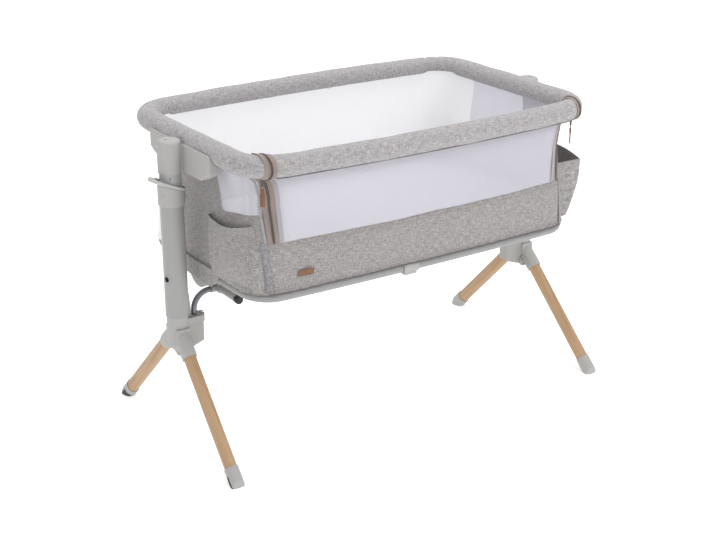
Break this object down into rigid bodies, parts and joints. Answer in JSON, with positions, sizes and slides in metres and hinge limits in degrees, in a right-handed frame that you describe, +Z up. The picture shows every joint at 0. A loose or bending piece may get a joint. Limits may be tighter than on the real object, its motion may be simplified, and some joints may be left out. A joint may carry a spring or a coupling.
{
  "type": "bedside sleeper crib",
  "caption": "Bedside crib: padded-rail cloth basket with a zip-down front and a mattress, carried at each end by a telescopic column on splayed wooden legs.",
  "frame": {"origin": "on the floor under the middle of the crib", "axes": "+X along the crib's length, -Y towards the side that faces the bed, +Z up"},
  "size_m": [1.0416, 0.5949, 0.6879],
  "materials": {
    "grey_cloth": "woven melange",
    "rail_cloth": "woven melange, padded",
    "white_cloth": "smooth lining",
    "mesh": "open mesh",
    "tape": "zip tape",
    "mattress_cloth": "soft cover",
    "steel_tube": "powder coat",
    "grey_tube": "powder coat",
    "light_tube": "powder coat",
    "dark_tube": "dark metallic",
    "grey_plastic": "fine texture",
    "lever_plastic": "fine texture",
    "bright_steel": "plated",
    "black_plastic": "moulded",
    "rubber": "matt",
    "beech": "oiled beech",
    "board": "fibreboard",
    "tan_leather": "smooth"
  },
  "bodies": {
    "basket": {"upper_rail_padding": "rail_cloth", "upper_rail_tube": "steel_tube", "front_panel": "grey_cloth", "back_panel": "white_cloth", "floor_frame_left": "steel_tube", "floor_frame_right": "steel_tube", "frame_couplings": "grey_plastic", "floor_cross_tubes": "steel_tube", "floor_board": "board", "mattress": "mattress_cloth", "left_end_panel": "grey_cloth", "right_end_panel": "grey_cloth", "left_end_window": "mesh", "right_end_window": "mesh", "left_zip_tape": "tape", "right_zip_tape": "tape", "left_pocket": "grey_cloth", "right_pocket": "grey_cloth", "left_frame_bracket": "grey_plastic", "right_frame_bracket": "grey_plastic", "left_head_bracket": "grey_plastic", "right_head_bracket": "grey_plastic", "left_head_cap": "grey_plastic", "right_head_cap": "grey_plastic", "left_inner_tube": "light_tube", "right_inner_tube": "light_tube"},
    "gate": {"gate_rail_padding": "rail_cloth", "gate_rail_tube": "steel_tube", "gate_window": "mesh", "gate_zip_tapes": "tape"},
    "left_stand": {"left_column": "grey_tube", "left_collar": "grey_plastic", "left_leg_hub": "grey_plastic", "left_rest_arm": "dark_tube", "left_rest_bar": "grey_tube", "left_rest_bar_caps": "black_plastic", "left_stand_screws": "bright_steel", "left_front_leg": "beech", "left_back_leg": "beech", "left_foot_caps": "grey_plastic", "left_foot_pads": "rubber"},
    "left_release_lever": {"left_release_lever": "lever_plastic"},
    "left_lock_pin": {"left_lock_pin": "bright_steel"},
    "left_zip_slider": {"left_zip_slider": "bright_steel"},
    "left_zip_pull": {"left_zip_pull": "tan_leather"},
    "right_stand": {"right_column": "grey_tube", "right_collar": "grey_plastic", "right_leg_hub": "grey_plastic", "right_rest_arm": "dark_tube", "right_rest_bar": "grey_tube", "right_rest_bar_caps": "black_plastic", "right_stand_screws": "bright_steel", "right_front_leg": "beech", "right_back_leg": "beech", "right_foot_caps": "grey_plastic", "right_foot_pads": "rubber"},
    "right_release_lever": {"right_release_lever": "lever_plastic"},
    "right_lock_pin": {"right_lock_pin": "bright_steel"},
    "right_zip_slider": {"right_zip_slider": "bright_steel"},
    "right_zip_pull": {"right_zip_pull": "tan_leather"}
  },
  "joints": [
    {"name": "gate_fold", "type": "hinge", "parent": "basket", "child": "gate", "pos_m": [0, -0.2515, 0.497], "axis": [1, 0, 0], "range_deg": [0, 150]},
    {"name": "left_height", "type": "slide", "parent": "basket", "child": "left_stand", "axis": [0, 0, -1], "range_m": [0, 0.16]},
    {"name": "left_lever_lift", "type": "hinge", "parent": "left_stand", "child": "left_release_lever", "pos_m": [-0.4445, 0, 0.549], "axis": [0, 1, 0], "range_deg": [0, 8], "stiffness_Nm_per_rad": 0.6},
    {"name": "left_pin_draw", "type": "slide", "parent": "left_stand", "child": "left_lock_pin", "axis": [1, 0, 0], "range_m": [0, 0.0016]},
    {"name": "left_zip_run", "type": "slide", "parent": "basket", "child": "left_zip_slider", "axis": [0.1996, 0.0975, -0.975], "range_m": [0, 0.085]},
    {"name": "left_pull_swing", "type": "hinge", "parent": "left_zip_slider", "child": "left_zip_pull", "pos_m": [-0.395, -0.241, 0.6258], "axis": [0.6157, -0.788, 0], "range_deg": [-60, 0]},
    {"name": "right_height", "type": "slide", "parent": "basket", "child": "right_stand", "axis": [0, 0, -1], "range_m": [0, 0.16]},
    {"name": "right_lever_lift", "type": "hinge", "parent": "right_stand", "child": "right_release_lever", "pos_m": [0.4445, 0, 0.549], "axis": [0, -1, 0], "range_deg": [0, 8], "stiffness_Nm_per_rad": 0.6},
    {"name": "right_pin_draw", "type": "slide", "parent": "right_stand", "child": "right_lock_pin", "axis": [-1, 0, 0], "range_m": [0, 0.0016]},
    {"name": "right_zip_run", "type": "slide", "parent": "basket", "child": "right_zip_slider", "axis": [-0.1996, 0.0975, -0.975], "range_m": [0, 0.085]},
    {"name": "right_pull_swing", "type": "hinge", "parent": "right_zip_slider", "child": "right_zip_pull", "pos_m": [0.395, -0.241, 0.6258], "axis": [0.6157, 0.788, 0], "range_deg": [-60, 0]}
  ],
  "couplings": [
    {"joint": "left_pin_draw", "follows": "left_lever_lift", "m_per_rad": 0.010743},
    {"joint": "right_pin_draw", "follows": "right_lever_lift", "m_per_rad": 0.010743}
  ]
}
